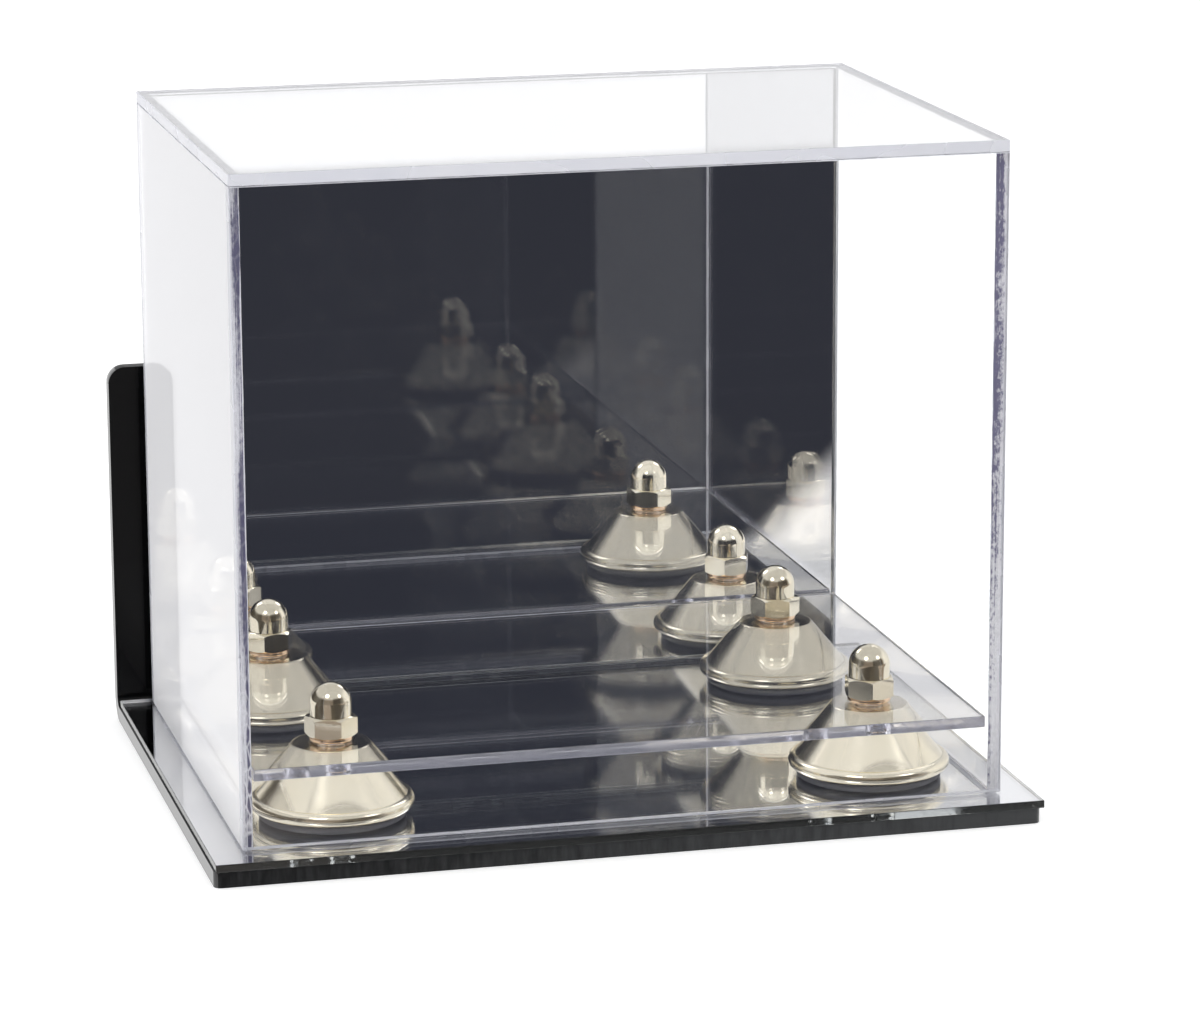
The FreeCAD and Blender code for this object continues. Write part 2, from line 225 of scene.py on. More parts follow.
def mirror_edge():
    """Polished edge of a silvered sheet, dark and faintly green like looking along glass."""
    finish = Finish("mirror_edge", {
        "Base Color": (0.72, 0.735, 0.705, 1), "Transmission Weight": 0.97,
        "IOR": ACRYLIC, "Roughness": 0.03})
    marks = finish.noise(300.0, detail=4.0)
    finish.drive("Roughness", finish.spread(marks, NOISE, (0.0, 0.06)))
    finish.bump(marks, strength=0.03, distance=0.1 * MM)
    finish.lets_lamps_through((0.6, 0.65, 0.62))
    return finish.material


def clouded_cement():
    """Solvent cement with clouds, bubbles and dry patches."""
    finish = Finish("top_cement", {"Roughness": 0.45, "IOR": ACRYLIC})
    clouds = finish.noise(420.0, detail=6.0, rough=0.65, stretch=(1, 1, 0.45))
    thick = finish.spread(clouds, (0.38, 0.66), WHOLE)
    finish.drive("Base Color", finish.tint(thick, (0.2, 0.2, 0.23), (0.6, 0.6, 0.64)))
    finish.drive("Alpha", finish.spread(finish.spots(900.0), (0.1, 0.5), (0.35, 0.85)))
    return finish.material


# How far from the middle the cover's side walls begin and end
CORNER_INSIDE = (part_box("cover_right")[0].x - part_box("cover_left")[1].x) / 2
CORNER_OUTSIDE = (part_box("cover_right")[1].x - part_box("cover_left")[0].x) / 2

# Where, from the middle, the corner cement's light rim ends and its dark band turns light
CEMENT_RIM = (CORNER_INSIDE + 0.15 * MM, CORNER_INSIDE + 0.4 * MM)
CEMENT_BAND = (CORNER_INSIDE + 0.5 * MM, CORNER_INSIDE + 2.2 * MM)

# The heights between which strokes in the cement fade away, and pale cement turns darker
CEMENT_STROKES = (25 * MM, 60 * MM)
CEMENT_PALE = (50 * MM, 95 * MM)

# The sum of its textures over which corner cement turns from dark to light, and how much it covers
CEMENT_GRAIN = (1.3, 1.66)
CEMENT_COVER = (0.9, 0.7)

# Stretches textures into long upright streaks
UPRIGHT = (1, 1, 0.012)


def corner_cement(name):
    """Cement in an upright corner, and what its detail follows: how far out it is, and how high."""
    finish = Finish(name, {"Roughness": 0.4, "IOR": ACRYLIC})
    axes = finish.axes()
    outward = finish.add("ShaderNodeMath", {0: axes["X"]}, operation="ABSOLUTE").outputs[0]
    return finish, outward, axes["Z"]


def streaked_cement():
    """Corner cement in straight streaks, with a dark band and a light rim inside and strokes low down."""
    finish, outward, height = corner_cement("streaked_cement")
    bands = finish.noise(1300.0, detail=1.0, stretch=UPRIGHT)
    streaks = finish.spread(finish.noise(3200.0, detail=1.0, stretch=UPRIGHT), WHOLE, (-0.5, 0.5))
    mottles = finish.noise(1300.0, rough=0.6, stretch=(1, 1, 0.5))
    patches = finish.noise(30.0, detail=1.0)
    grain = finish.plus(finish.plus(bands, streaks),
                        finish.plus(finish.spread(mottles, WHOLE, (0.2, 0.8)), patches))
    lean = finish.spread(outward, CEMENT_BAND, (-0.3, 0.26))
    rim = finish.spread(outward, CEMENT_RIM, (0.5, 0))
    share = finish.spread(finish.plus(grain, finish.plus(lean, rim)), CEMENT_GRAIN, WHOLE)
    strokes = finish.spread(finish.cracks(750.0, stretch=(1, 1, 0.3)), (0, 0.15), (1, 0))
    wisps = finish.times(strokes, finish.spread(height, CEMENT_STROKES, (1, 0.15)))
    finish.drive("Base Color", finish.tint(finish.plus(share, wisps), (0.12, 0.115, 0.2), (0.9, 0.9, 0.94)))
    finish.drive("Alpha", finish.spread(mottles, NOISE, CEMENT_COVER))
    return finish.material


def mottled_cement():
    """Corner cement that is mottled all over, darker above and towards the inside."""
    finish, outward, height = corner_cement("mottled_cement")
    streaks = finish.noise(1300.0, stretch=UPRIGHT)
    mottles = finish.noise(1500.0, rough=0.6, stretch=(1, 1, 0.6))
    patches = finish.noise(30.0, detail=1.0)
    grain = finish.plus(streaks, finish.plus(finish.spread(mottles, WHOLE, (-0.12, 1.12)), patches))
    lean = finish.spread(outward, (CORNER_INSIDE, CORNER_OUTSIDE), (-0.24, 0.24))
    lower = finish.spread(height, CEMENT_PALE, (0.16, -0.04))
    share = finish.spread(finish.plus(grain, finish.plus(lean, lower)), CEMENT_GRAIN, WHOLE)
    finish.drive("Base Color", finish.tint(share, (0.19, 0.18, 0.29), (0.98, 0.98, 1)))
    finish.drive("Alpha", finish.spread(mottles, NOISE, CEMENT_COVER))
    return finish.material


def silver():
    finish = Finish("silver", {"Metallic": 1.0, "Roughness": 0.0})
    haze = finish.noise(60.0, detail=3.0)
    finish.drive("Base Color", finish.tint(haze, (0.93, 0.935, 0.945), (0.96, 0.965, 0.975)))
    return finish.material


def mirror_paint():
    finish = Finish("mirror_paint", {"Roughness": 0.6})
    grain = finish.noise(900.0, detail=3.0)
    finish.drive("Base Color", finish.tint(grain, (0.25, 0.26, 0.28), (0.36, 0.37, 0.39)))
    finish.bump(grain, strength=0.2, distance=0.05 * MM)
    return finish.material


def black_acrylic():
    """Glossy face of the black sheet, hazy in patches and faintly wavy."""
    finish = Finish("black_acrylic", {
        "Base Color": (0.003, 0.003, 0.0033, 1), "IOR": ACRYLIC, "Specular IOR Level": 0.14})
    haze = finish.noise(35.0, detail=5.0)
    finish.drive("Roughness", finish.spread(haze, (0.35, 0.75), (0.04, 0.12)))
    finish.bump(finish.noise(20.0, detail=1.0), strength=0.03, distance=0.5 * MM)
    return finish.material


# Painted light on the black sheet's edges: they turn lighter between these places across, darkest at the left
PAINTED_LIGHT_SPAN = (-100 * MM, 100 * MM)


def black_edge(name, shine, smooth, rough):
    """Cut edge of the black sheet, between two roughnesses in fine marks, with painted light that makes it
    lighter to the right.
    """
    finish = Finish(name, {"IOR": ACRYLIC, "Specular IOR Level": shine})
    marks = finish.noise(700.0, detail=3.0, stretch=(1, 1, 0.2))
    # The fine marks vary the edge's own colour; the spread across X adds painted light, lighter to the right
    marks_and_painted_light = finish.plus(marks, finish.spread(finish.axes()["X"], PAINTED_LIGHT_SPAN, (-0.4, 0.6)))
    finish.drive("Base Color", finish.tint(marks_and_painted_light, (0.005, 0.0053, 0.006), (0.062, 0.064, 0.066)))
    finish.drive("Roughness", finish.spread(marks, NOISE, (smooth, rough)))
    finish.bump(marks, strength=0.2 * rough, distance=0.05 * MM)
    return finish.material


def gold(name, bright, satin):
    """Pale gold plate, from its bright to its satin roughness in patches."""
    finish = Finish(name, {"Metallic": 1.0})
    patches = finish.noise(120.0, detail=3.0)
    finish.drive("Base Color", finish.tint(patches, (0.88, 0.81, 0.645), (0.86, 0.805, 0.665)))
    finish.drive("Roughness", finish.spread(patches, NOISE, (bright, satin)))
    finish.bump(finish.noise(300.0), strength=0.05, distance=0.1 * MM)
    return finish.material


def copper_gold():
    finish = Finish("copper_gold", {"Metallic": 1.0})
    patches = finish.noise(400.0, detail=3.0)
    finish.drive("Base Color", finish.tint(patches, (0.88, 0.7, 0.52), (0.8, 0.58, 0.43)))
    finish.drive("Roughness", finish.spread(patches, NOISE, (0.06, 0.16)))
    return finish.material


def rubber():
    finish = Finish("pad_rubber", {})
    grain = finish.noise(1500.0, detail=4.0)
    finish.drive("Base Color", finish.tint(grain, (0.16, 0.16, 0.175), (0.24, 0.24, 0.26)))
    finish.drive("Roughness", finish.spread(grain, NOISE, (0.5, 0.75)))
    finish.bump(grain, strength=0.3, distance=0.05 * MM)
    return finish.material


def zinc():
    finish = Finish("zinc", {"Metallic": 1.0})
    grain = finish.noise(500.0, detail=4.0)
    finish.drive("Base Color", finish.tint(grain, (0.55, 0.56, 0.58), (0.68, 0.69, 0.72)))
    finish.drive("Roughness", finish.spread(grain, NOISE, (0.22, 0.4)))
    return finish.material


CLEAR = clear_acrylic("clear_acrylic", wiped=False)
WIPED = clear_acrylic("wiped_acrylic", wiped=True)
EDGE = acrylic_edge()
POLISHED = polished_edge()
MIRROR_EDGE = mirror_edge()
CORNER_CEMENT = {"left": streaked_cement(), "right": mottled_cement()}
TOP_CEMENT = clouded_cement()
SILVER = silver()
PAINT = mirror_paint()
BLACK = black_acrylic()
SAWN = black_edge("sawn_black", shine=0.14, smooth=0.3, rough=0.5)
SCRAPED = black_edge("scraped_black", shine=1.0, smooth=0.02, rough=0.08)
GOLD = gold("gold", bright=0.05, satin=0.11)
SPUN_GOLD = gold("spun_gold", bright=0.12, satin=0.19)
COPPER = copper_gold()
RUBBER = rubber()
ZINC = zinc()


def new_piece(name, bm, body, slot, *finishes):
    """Makes an object of a bmesh that rides on a body, with its finishes in order."""
    mesh = bpy.data.meshes.new(name)
    bm.to_mesh(mesh)
    bm.free()
    for finish in finishes:
        mesh.materials.append(finish)
    piece = bpy.data.objects.new(name, mesh)
    bpy.context.scene.collection.objects.link(piece)
    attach(piece, body)
    return piece


def box_of(low, high):
    """A plain box between two corners."""
    bm = bmesh.new()
    size = Vector(high) - Vector(low)
    middle = (Vector(high) + Vector(low)) / 2
    bmesh.ops.create_cube(bm, size=1.0, matrix=Matrix.Translation(middle) @ Matrix.Diagonal((*size, 1)))
    return bm


def welded(node):
    """A CAD node's mesh with its split corners joined."""
    bm = bmesh.new()
    bm.from_mesh(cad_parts[node].data)
    bmesh.ops.remove_doubles(bm, verts=bm.verts, dist=WELD)
    return bm


def fit(bm, low, high):
    """Fits a mesh to a box."""
    old_low = Vector([min(v.co[a] for v in bm.verts) for a in range(3)])
    old_high = Vector([max(v.co[a] for v in bm.verts) for a in range(3)])
    for v in bm.verts:
        for a in range(3):
            share = (v.co[a] - old_low[a]) / (old_high[a] - old_low[a])
            v.co[a] = low[a] + share * (high[a] - low[a])


def soften(bm, width, segments=2):
    """Rounds every sharp edge."""
    edges = [e for e in bm.edges if e.is_manifold and e.calc_face_angle() > SHARP]
    bmesh.ops.bevel(bm, geom=edges, offset=width, segments=segments, profile=0.5, affect="EDGES",
                    clamp_overlap=True)


def smooth(bm):
    """Smooth shading, broken at sharp edges."""
    for face in bm.faces:
        face.smooth = True
    for edge in bm.edges:
        edge.smooth = not (edge.is_manifold and edge.calc_face_angle() > SHARP)


def drop_slivers(bm):
    """Takes out faces and edges too small to have a size."""
    bmesh.ops.dissolve_degenerate(bm, dist=WELD, edges=bm.edges)


def shrunk(node, gap):
    """A node's box, drawn in by a gap all round."""
    low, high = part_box(node)
    inset = Vector((gap, gap, gap))
    return low + inset, high - inset


# A face looks along an axis when its normal has at least this much of it, or strictly along it
ALONG = 0.5
STRICTLY_ALONG = 0.99


def sheet(node, low, high, rounding, axis, second_way):
    """A node's sheet fitted to a box: slots 0 and 2 on its faces, 2 facing second_way, 1 on its edges."""
    bm = welded(node)
    fit(bm, low, high)
    soften(bm, rounding)
    bm.normal_update()
    for face in bm.faces:
        along = face.normal[axis] * second_way
        if abs(along) < STRICTLY_ALONG:
            face.material_index = 1
        else:
            face.material_index = 2 if along > 0 else 0
    return bm


# Each clear sheet's thin axis, the way its outer face looks along it, and that face's and the edges' finish
CLEAR_SHEETS = {
    "cover_front": (1, -1, CLEAR, EDGE),
    "cover_rear": (1, 1, CLEAR, EDGE),
    "cover_left": (0, -1, WIPED, EDGE),
    "cover_right": (0, 1, WIPED, EDGE),
    "cover_top": (2, 1, CLEAR, EDGE),
    "platform": (2, 1, CLEAR, POLISHED),
}
CLEAR_ROUND = 0.25 * MM


def dress_clear_sheets():
    """Cover panels and platform, a hair apart so that each clear face stays its own."""
    for node, (axis, way, outer, edge) in CLEAR_SHEETS.items():
        low, high = shrunk(node, SHEET_GAP)
        bm = sheet(node, low, high, CLEAR_ROUND, axis, way)
        body = "base" if node == "platform" else "cover"
        piece = new_piece(f"{node}_sheet", bm, body, "clear_acrylic", CLEAR, edge, outer)
        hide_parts(node)


# A film is cut into lengths of FILM_STEP, and its edges wander in by a share of its width in two waves
FILM_STEP = 6 * MM
FILM_WAVES = (2.1, 0.73)
CEMENT_RAGGED = 0.16
PAINT_RAGGED = 0.012


def film(low, high, ragged):
    """A thin film between two corners, cut into short lengths whose edges wander in by uneven amounts."""
    bm = box_of(low, high)
    size = Vector(high) - Vector(low)
    narrow, long = sorted(range(3), key=lambda axis: size[axis])[1:]
    runs = [e for e in bm.edges if abs((e.verts[0].co - e.verts[1].co)[long]) > size[long] / 2]
    cuts = round(size[long] / FILM_STEP)
    bmesh.ops.subdivide_edges(bm, edges=runs, cuts=cuts, use_grid_fill=True)
    middle = (low[narrow] + high[narrow]) / 2
    for v in bm.verts:
        along = v.co[long] / FILM_STEP
        side = 1 if v.co[narrow] > middle else 2
        inward = ragged * abs(math.sin(FILM_WAVES[0] * along) * math.sin(FILM_WAVES[1] * along + side))
        v.co[narrow] += (middle - v.co[narrow]) * inward
    soften(bm, FILM_GAP)
    drop_slivers(bm)
    return bm


MIRROR_ROUND = 0.125 * MM
PAINT_LAYER = 0.08 * MM


def dress_mirrors():
    """Clear sheets silvered behind, so that what stands on them is apart from its image."""
    low, high = shrunk("base_mirror", SHEET_GAP / 2)
    bm = sheet("base_mirror", low, high, MIRROR_ROUND, 2, -1)
    piece = new_piece("base_mirror_sheet", bm, "base", "mirror", CLEAR, MIRROR_EDGE, SILVER)
    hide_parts("base_mirror")

    low, high = shrunk("back_mirror", SHEET_GAP / 2)
    bm = sheet("back_mirror", low, high - Vector((0, PAINT_LAYER, 0)), MIRROR_ROUND, 1, 1)
    piece = new_piece("back_mirror_sheet", bm, "cover", "mirror", CLEAR, MIRROR_EDGE, SILVER)
    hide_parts("back_mirror")
    paint = film((low.x, high.y - PAINT_LAYER + FILM_GAP, low.z), high, PAINT_RAGGED)
    new_piece("back_mirror_paint", paint, "cover", "mirror", PAINT)


def lay_film(name, low, high, finish):
    new_piece(name, film(low, high, CEMENT_RAGGED), "cover", "clear_acrylic", finish)


def lay_cement():
    """Films of cement where the panels meet: four upright corners and four edges under the top."""
    walls = {name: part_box(f"cover_{name}") for name in ("front", "rear", "left", "right")}
    half = SHEET_GAP - FILM_GAP
    for name in ("left", "right"):
        low, high = walls[name]
        for end, seam in (("front", walls["left"][0].y), ("rear", walls["left"][1].y)):
            lay_film(f"cement_{end}_{name}",
                     (low.x + SHEET_GAP, seam - half, low.z + SHEET_GAP),
                     (high.x - SHEET_GAP, seam + half, high.z - SHEET_GAP), CORNER_CEMENT[name])
    for name, (low, high) in walls.items():
        lay_film(f"cement_top_{name}",
                 (low.x + SHEET_GAP, low.y + SHEET_GAP, high.z - half),
                 (high.x - SHEET_GAP, high.y - SHEET_GAP, high.z + half), TOP_CEMENT)


# The bracket's front and top edges are the faces within this distance of its front and top
BRACKET_EDGE = 4.5 * MM
BRACKET_ROUND = 0.35 * MM


def dress_bracket():
    """One bent sheet, glossy on its faces, sawn in front and on top and scraped at its sides."""
    bm = welded("wall_bracket")
    low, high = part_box("wall_bracket")
    bm.normal_update()
    for face in bm.faces:
        middle = face.calc_center_median()
        front = face.normal.y < -ALONG and middle.y < low.y + BRACKET_EDGE
        top = face.normal.z > ALONG and middle.z > high.z - BRACKET_EDGE
        if abs(face.normal.x) > ALONG:
            face.material_index = 2
        else:
            face.material_index = 1 if front or top else 0
    soften(bm, BRACKET_ROUND, segments=3)
    piece = new_piece("wall_bracket_sheet", bm, "base", "black_acrylic", BLACK, SAWN, SCRAPED)
    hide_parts("wall_bracket")


def refinish(node, finish):
    """Gives a CAD node that stays in view its finish."""
    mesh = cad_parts[node].data
    mesh.materials.clear()
    mesh.materials.append(finish)


def axis_of(node):
    """Where a turned part's upright axis stands."""
    low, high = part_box(node)
    return (low.x + high.x) / 2, (low.y + high.y) / 2


def turned(axis, rows, steps, closed=True):
    """A turned shape: rows of (radius, height), where a radius may be a function of the angle."""
    bm = bmesh.new()
    columns = []
    for step in range(steps):
        turn = 2 * math.pi * step / steps
        column = []
        for radius, height in rows:
            r = radius(turn) if callable(radius) else radius
            column.append(bm.verts.new((axis[0] + r * math.cos(turn), axis[1] + r * math.sin(turn), height)))
        columns.append(column)
    last = len(rows) if closed else len(rows) - 1
    for step in range(steps):
        here, there = columns[step], columns[(step + 1) % steps]
        for row in range(last):
            upper = (row + 1) % len(rows)
            bm.faces.new((here[row], there[row], there[upper], here[upper]))
    if not closed:
        bm.faces.new([column[-1] for column in columns])
        bm.faces.new([column[0] for column in reversed(columns)])
    bmesh.ops.recalc_face_normals(bm, faces=bm.faces)
    smooth(bm)
    return bm


RING_STEPS = 96
ROUND_STEPS = 6
PAD_ROUND = 0.6 * MM
PAD_HOLE = 3.375 * MM
WASHER_ROUND = 0.3 * MM
WASHER_HOLE = 3.255 * MM


def round_corner(radius, height, size, start):
    """Points of a rounded corner round a centre, a quarter turn from an angle in degrees."""
    points = []
    for step in range(ROUND_STEPS + 1):
        angle = math.radians(start + 90 * step / ROUND_STEPS)
        points.append((radius + size * math.cos(angle), height + size * math.sin(angle)))
    return points


def rounded_ring(node, hole, rim):
    """A flat ring in place of a node, with rounded rims and a hole for the bolt."""
    low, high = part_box(node)
    outside = (high.x - low.x) / 2 - rim
    rows = [(hole + rim / 2, low.z)]
    rows += round_corner(outside, low.z + rim, rim, -90)
    rows += round_corner(outside, high.z - rim, rim, 0)
    rows += [(hole + rim / 2, high.z), (hole, high.z - rim / 2), (hole, low.z + rim / 2)]
    return turned(axis_of(node), rows, RING_STEPS)


def dress_rings(corner):
    """The rubber pad under a riser and the plated washer under its nut."""
    pad, washer = f"riser_pad_{corner}", f"washer_{corner}"
    disc = new_piece(f"pad_{corner}", rounded_ring(pad, PAD_HOLE, PAD_ROUND), "base", "rubber", RUBBER)
    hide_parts(pad)
    ring = rounded_ring(washer, WASHER_HOLE, WASHER_ROUND)
    collar = new_piece(f"collar_{corner}", ring, washer, "gold", COPPER)
    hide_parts(washer)


BOLT_RADIUS = 3.155 * MM
BOLT_STEPS = 36
THREAD_PITCH = 1.27 * MM
THREAD_DEPTH = 0.7 * MM
THREAD_ROWS = 6
HEAD_HEIGHT = 2.8 * MM
HEAD_BEVEL = (0.2 * MM, 0.25 * MM)
SOCKET_RADIUS = 2.3 * MM
SOCKET_DEPTH = 1.8 * MM
SOCKET_MIDDLE = 0.05 * MM

# The bolt's upper end: the height of its chamfer, and how deep that cuts in thread depths
END_CHAMFER = 0.5 * MM
END_DEPTH = 1.2


def thread(height):
    """The radius round a screw at a height: a V groove that climbs with the angle."""
    def radius(turn):
        share = (height / THREAD_PITCH - turn / (2 * math.pi)) % 1.0
        return BOLT_RADIUS - THREAD_DEPTH * abs(2 * share - 1)
    return radius


def hexagon(flat):
    """The radius round a hexagon that is a given distance from axis to flat."""
    return lambda turn: flat / math.cos((turn + math.pi / 6) % (math.pi / 3) - math.pi / 6)


def cut_bolt(corner):
    """A countersunk screw with a hexagon socket below and a thread up to its chamfered end."""
    node = f"riser_bolt_{corner}"
    low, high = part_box(node)
    head = (high.x - low.x) / 2
    socket = hexagon(SOCKET_RADIUS * math.cos(math.pi / 6))
    socket_top = low.z + SOCKET_DEPTH
    rows = [(SOCKET_MIDDLE, socket_top), (socket, socket_top), (socket, low.z)]
    rows += [(head - HEAD_BEVEL[0], low.z), (head, low.z + HEAD_BEVEL[1]), (BOLT_RADIUS, low.z + HEAD_HEIGHT)]
    start = low.z + HEAD_HEIGHT + THREAD_PITCH
    count = math.floor((high.z - THREAD_PITCH - start) / THREAD_PITCH * THREAD_ROWS)
    heights = [start + THREAD_PITCH * row / THREAD_ROWS for row in range(count)]
    rows += [(thread(height), height) for height in heights]
    rows += [(BOLT_RADIUS - THREAD_DEPTH, high.z - END_CHAMFER)]
    rows += [(BOLT_RADIUS - END_DEPTH * THREAD_DEPTH, high.z)]
    bm = turned(axis_of(node), rows, BOLT_STEPS, closed=False)
    piece = new_piece(f"bolt_{corner}", bm, "base", "steel", ZINC)
    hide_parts(node)


def dress_nut(corner):
    """The plated nut, with smooth dome and crisp hexagon."""
    node = f"acorn_nut_{corner}"
    bm = welded(node)
    drop_slivers(bm)
    smooth(bm)
    piece = new_piece(f"acorn_{corner}", bm, f"nut_{corner}", "gold", GOLD)
    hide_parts(node)


def dress_hardware():
    for corner in CORNERS:
        refinish(f"riser_{corner}", SPUN_GOLD)
        dress_nut(corner)
        dress_rings(corner)
        cut_bolt(corner)


# The photograph's view: where the camera stands, what it looks at and how far it is rolled
CAMERA_PLACE = Vector((-282.45, -1167.35, 352.36)) * MM
CAMERA_TARGET = Vector((10.68, 0, 67.01)) * MM
CAMERA_ROLL = math.radians(-0.26)
CAMERA_LENS = 143.86
CAMERA_REACH = 20
SENSOR_WIDTH = 36.0


def place_camera():
    data = bpy.data.cameras.new("camera")
    data.lens = CAMERA_LENS
    data.sensor_width = SENSOR_WIDTH
    data.clip_end = CAMERA_REACH
    camera = bpy.data.objects.new("camera", data)
    bpy.context.scene.collection.objects.link(camera)
    aim = (CAMERA_TARGET - CAMERA_PLACE).to_track_quat("-Z", "Y").to_matrix().to_4x4()
    camera.matrix_world = Matrix.Translation(CAMERA_PLACE) @ aim @ Matrix.Rotation(CAMERA_ROLL, 4, "Z")
    bpy.context.scene.camera = camera


# Each soft box: where it hangs, how wide it is and its watts
SOFT_BOXES = {
    "key": (Vector((-0.55, -0.75, 0.95)), 0.45, 1.6),
    "fill": (Vector((0.75, -0.65, 0.8)), 0.4, 0.9),
}


def hang_soft_boxes():
    """Two soft boxes in front and above, for the highlights on the plated parts."""
    for name, (place, size, watts) in SOFT_BOXES.items():
        data = bpy.data.lights.new(name, "AREA")
        data.shape = "DISK"
        data.size = size
        data.energy = watts
        lamp = bpy.data.objects.new(name, data)
        bpy.context.scene.collection.objects.link(lamp)
        lamp.location = place
        lamp.rotation_euler = (CAMERA_TARGET - place).to_track_quat("-Z", "Y").to_euler()


# A ray's count is one or more above ONCE. Rays off the gold cross four clear faces, and rays from inside more
ONCE = 0.5
GOLD_FACES = (3.5, 5.5)

WHITE = (1, 1, 1)
DARK_FRONT = (0.03, 0.032, 0.042)
WARM_DARK = (0.08, 0.07, 0.058)
WARM_GREY = (0.26, 0.22, 0.19)


class Stage(Wiring):
    """Short forms for the nodes of the studio, in an emptied tree."""

    def __init__(self, tree, light):
        super().__init__(tree)
        tree.nodes.clear()
        self.light = light
        self.rays = self.add("ShaderNodeLightPath").outputs
        self.mirrored = self.above(self.rays["Glossy Depth"], ONCE)

    def ramp(self, source, low, high):
        """0 below low, 1 above high, eased between; the other way round if low is above high."""
        flip = low > high
        inputs = {"Value": source, "From Min": min(low, high), "From Max": max(low, high),
                  "To Min": 1.0 if flip else 0.0, "To Max": 0.0 if flip else 1.0}
        return self.add("ShaderNodeMapRange", inputs, interpolation_type="SMOOTHSTEP").outputs["Result"]

    def above(self, source, limit):
        return self.calculate("GREATER_THAN", source, limit)

    def span(self, source, start, full, fall, end):
        """1 from full to fall, easing to 0 at start and end."""
        return self.times(self.ramp(source, start, full), self.ramp(source, end, fall))

    def seen_in_gold(self):
        """1 for rays that left a plated part through the cover."""
        crossed = self.rays["Transmission Depth"]
        return self.times(self.above(crossed, GOLD_FACES[0]), self.above(GOLD_FACES[1], crossed))

    def glow(self, colour, strength=1.0):
        return self.add(self.light, {"Color": (*colour, 1), "Strength": strength}).outputs[0]

    def show(self, kind, shader):
        self.tree.links.new(shader, self.add(kind).inputs["Surface"])


# Strengths of the white: the walls, the paper behind as mirrors show it, above, and above as gold shows it
WALL_GLOW = 1.1
PAPER_GLOW = 0.95
TOP_GLOW = 1.0
DOME_GLOW = 0.65
PAPER_WHITE = (0.985, 0.985, 1)

# Shares of straight up or ahead in a direction, between which one side of the studio fades into the next
LOW_DOWN = (0.65, 0.35)
HIGH_UP = (0.4, 0.7)
IN_FRONT = (0.1, 0.45)
BEHIND = (-0.3, -0.6)

# Bearings of the two dark flags in radians, to the right of straight in front
RIGHT_FLAG = (0.0, 0.12, 0.95, 1.25)
LEFT_FLAG = (-2.9, -2.6, -0.95, -0.75)


def light_studio():
    """White all round and above, dark in front low down. Gold shows a warmer front with two dark flags."""
    world = bpy.data.worlds.new("studio")
    bpy.context.scene.world = world
    world.use_nodes = True
    nodes = Stage(world.node_tree, "ShaderNodeBackground")
    way = nodes.add("ShaderNodeTexCoord").outputs["Generated"]
    axes = nodes.add("ShaderNodeSeparateXYZ", {0: way}).outputs
    ahead = nodes.times(axes["Y"], -1.0)
    bearing = nodes.calculate("ARCTAN2", axes["X"], ahead)
    low = nodes.ramp(axes["Z"], *LOW_DOWN)
    high = nodes.ramp(axes["Z"], *HIGH_UP)
    front = nodes.times(nodes.ramp(ahead, *IN_FRONT), low)
    flags = nodes.times(nodes.plus(nodes.span(bearing, *RIGHT_FLAG), nodes.span(bearing, *LEFT_FLAG)), low)
    mirrored_back = nodes.times(nodes.mirrored, nodes.ramp(ahead, *BEHIND))
    walls = nodes.blend(mirrored_back, nodes.glow(WHITE, WALL_GLOW), nodes.glow(PAPER_WHITE, PAPER_GLOW))
    bright = nodes.blend(high, walls, nodes.glow(WHITE, TOP_GLOW))
    plain = nodes.blend(front, bright, nodes.glow(DARK_FRONT))
    over_dome = nodes.blend(high, walls, nodes.glow(WHITE, DOME_GLOW))
    between_flags = nodes.blend(front, over_dome, nodes.glow(WARM_GREY))
    warm = nodes.blend(flags, between_flags, nodes.glow(WARM_DARK))
    around = nodes.blend(nodes.seen_in_gold(), plain, warm)
    nodes.show("ShaderNodeOutputWorld", nodes.blend(nodes.rays["Is Camera Ray"], around, nodes.glow(WHITE)))


FLOOR_SIZE = 6.0
FLOOR_DROP = 0.05 * MM

# The floor as it is seen straight: a matt white with a lift of its own
FLOOR_MATT = (0.93, 0.93, 0.93)
FLOOR_LIFT = 0.35

# The floor's white through clear sheets, from inside the case, and in mirrors near the case and far ahead
THROUGH_GLOW = 1.9
PLATE_WHITE = (0.985, 0.98, 1)
PLATE_GLOW = 1.25
NEAR_GLOW = 1.0
FAR_GLOW = 1.35

# The floor beside the cloth, to the left and to the right in mirrors, and in the gold
BEIGE_FLOOR = (0.47, 0.41, 0.37)
PALE_FLOOR = (1, 0.975, 0.945)
PALE_GLOW = 1.35
WARM_GLOW = 1.4

# The dark cloth in front: it starts and ends at these Y, and its sides slant as X per metre of Y
CLOTH_NEAR = -0.08
CLOTH_FAR = (-0.8, -0.85)
CLOTH_LEFT = -0.033
CLOTH_LEFT_SLANT = -0.25
CLOTH_RIGHT = 0.06
CLOTH_RIGHT_SLANT = 0.54
CLOTH_FADE = 0.02

# The pale floor beyond the cloth ends here, where the dark room begins, and fades in from the left
FLOOR_FAR = (-1.24, -1.16)
FLOOR_FAR_LEFT = (0.078, 0.085)

# Left of this slanting line on the floor the plated domes see a dark corner of the room
LEFT_DARK = 0.03
LEFT_DARK_SLANT = 0.9


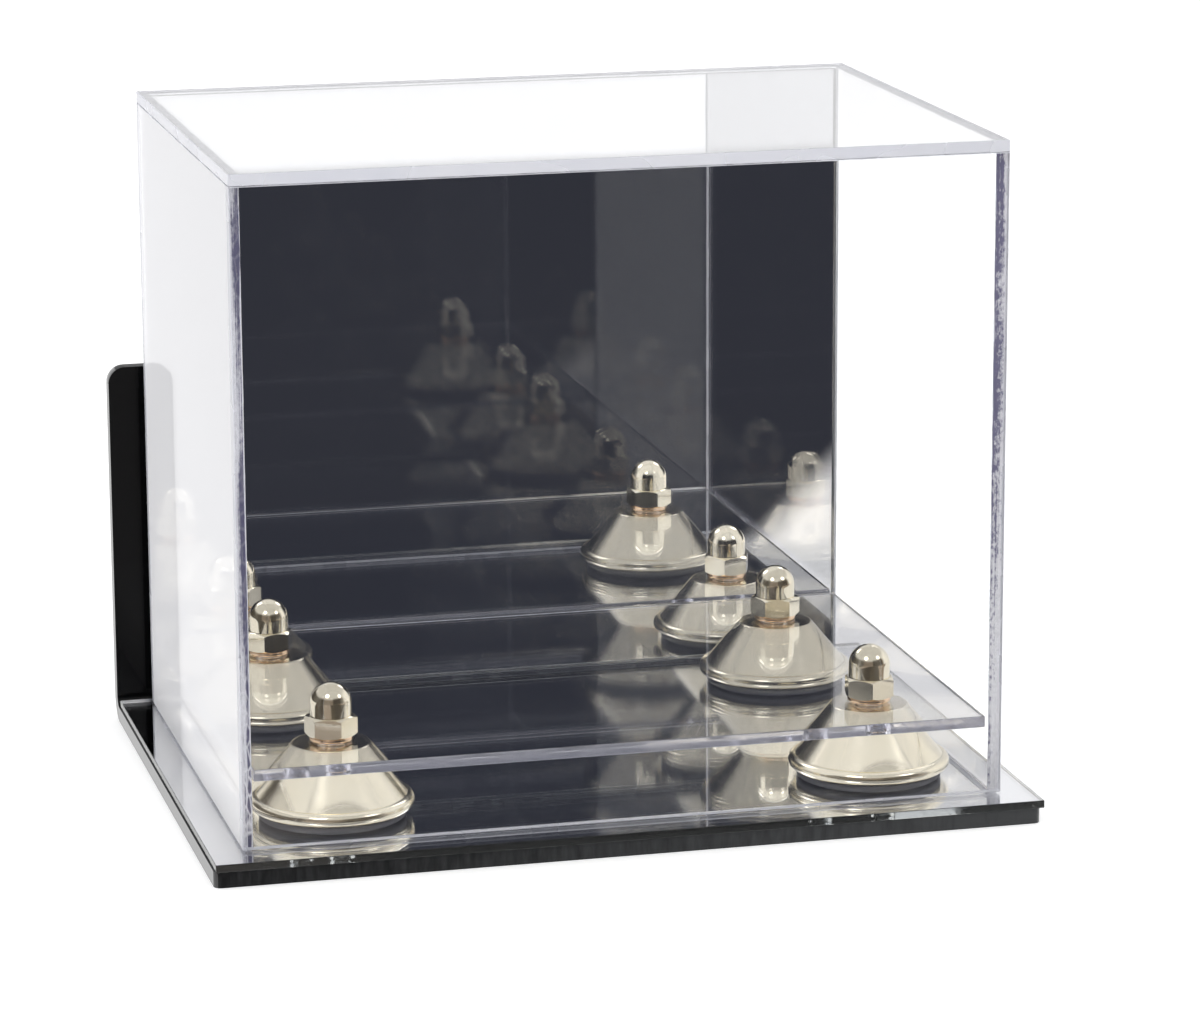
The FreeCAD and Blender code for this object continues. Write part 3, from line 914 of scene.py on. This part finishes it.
def floor_material():
    """Pale when seen straight. In the mirrors it is dark in front of the case and glows white elsewhere."""
    material = bpy.data.materials.new("floor")
    material.use_nodes = True
    nodes = Stage(material.node_tree, "ShaderNodeEmission")
    place = nodes.add("ShaderNodeNewGeometry").outputs["Position"]
    axes = nodes.add("ShaderNodeSeparateXYZ", {0: place}).outputs
    across, depth = axes["X"], axes["Y"]
    in_front = nodes.ramp(depth, CLOTH_NEAR, CLOTH_NEAR - CLOTH_FADE)
    from_left = nodes.plus(across, nodes.times(depth, CLOTH_LEFT_SLANT))
    from_right = nodes.plus(across, nodes.times(depth, CLOTH_RIGHT_SLANT))
    on_cloth = nodes.times(nodes.ramp(from_left, CLOTH_LEFT - CLOTH_FADE, CLOTH_LEFT),
                           nodes.ramp(from_right, CLOTH_RIGHT + CLOTH_FADE, CLOTH_RIGHT))
    far = nodes.times(nodes.ramp(depth, *CLOTH_FAR), nodes.ramp(depth, *FLOOR_FAR))
    far_right = nodes.times(far, nodes.ramp(across, *FLOOR_FAR_LEFT))
    through = nodes.above(nodes.rays["Transmission Depth"], ONCE)
    from_inside = nodes.above(nodes.rays["Transmission Depth"], GOLD_FACES[1])

    matt = nodes.add("ShaderNodeBsdfDiffuse", {"Color": (*FLOOR_MATT, 1)}).outputs[0]
    pale = nodes.add("ShaderNodeAddShader", {0: matt, 1: nodes.glow(WHITE, FLOOR_LIFT)}).outputs[0]
    clear = nodes.blend(from_inside, nodes.glow(WHITE, THROUGH_GLOW), nodes.glow(PLATE_WHITE, PLATE_GLOW))
    seen = nodes.blend(through, pale, clear)

    white = nodes.glow(WHITE, NEAR_GLOW)
    beyond = nodes.times(far_right, from_inside)
    cloth = nodes.blend(beyond, nodes.glow(DARK_FRONT), nodes.glow(WHITE, FAR_GLOW))
    at_right = nodes.ramp(across, 0.0, CLOTH_FADE)
    beside = nodes.blend(at_right, nodes.glow(BEIGE_FLOOR), nodes.glow(PALE_FLOOR, PALE_GLOW))
    in_mirrors = nodes.blend(in_front, white, nodes.blend(on_cloth, beside, cloth))

    warm_dark = nodes.glow(WARM_DARK)
    warm = nodes.blend(on_cloth, nodes.glow(WARM_GREY, WARM_GLOW), warm_dark)
    at_left = nodes.plus(depth, nodes.times(across, -LEFT_DARK_SLANT))
    left = nodes.times(nodes.ramp(at_left, LEFT_DARK - CLOTH_FADE, LEFT_DARK),
                       nodes.ramp(depth, 0.0, -CLOTH_FADE))
    in_gold = nodes.blend(left, nodes.blend(in_front, white, warm), warm_dark)

    mirrored = nodes.blend(nodes.seen_in_gold(), in_mirrors, in_gold)
    nodes.show("ShaderNodeOutputMaterial", nodes.blend(nodes.mirrored, seen, mirrored))
    return material


def lay_floor():
    """A plain floor just under the case."""
    bm = bmesh.new()
    bmesh.ops.create_grid(bm, x_segments=1, y_segments=1, size=FLOOR_SIZE / 2)
    mesh = bpy.data.meshes.new("floor")
    bm.to_mesh(mesh)
    bm.free()
    mesh.materials.append(floor_material())
    floor = bpy.data.objects.new("floor", mesh)
    bpy.context.scene.collection.objects.link(floor)
    floor.location.z = cad_box[0][2] - FLOOR_DROP


def set_up_light_paths():
    """Enough bounces for rays that cross many clear sheets between two mirrors."""
    scene = bpy.context.scene
    scene.cycles.max_bounces = 40
    scene.cycles.transmission_bounces = 40
    scene.cycles.glossy_bounces = 24
    scene.cycles.transparent_max_bounces = 32
    scene.view_settings.view_transform = "Standard"


dress_clear_sheets()
dress_mirrors()
lay_cement()
dress_bracket()
dress_hardware()
lay_floor()
light_studio()
hang_soft_boxes()
set_up_light_paths()
place_camera()
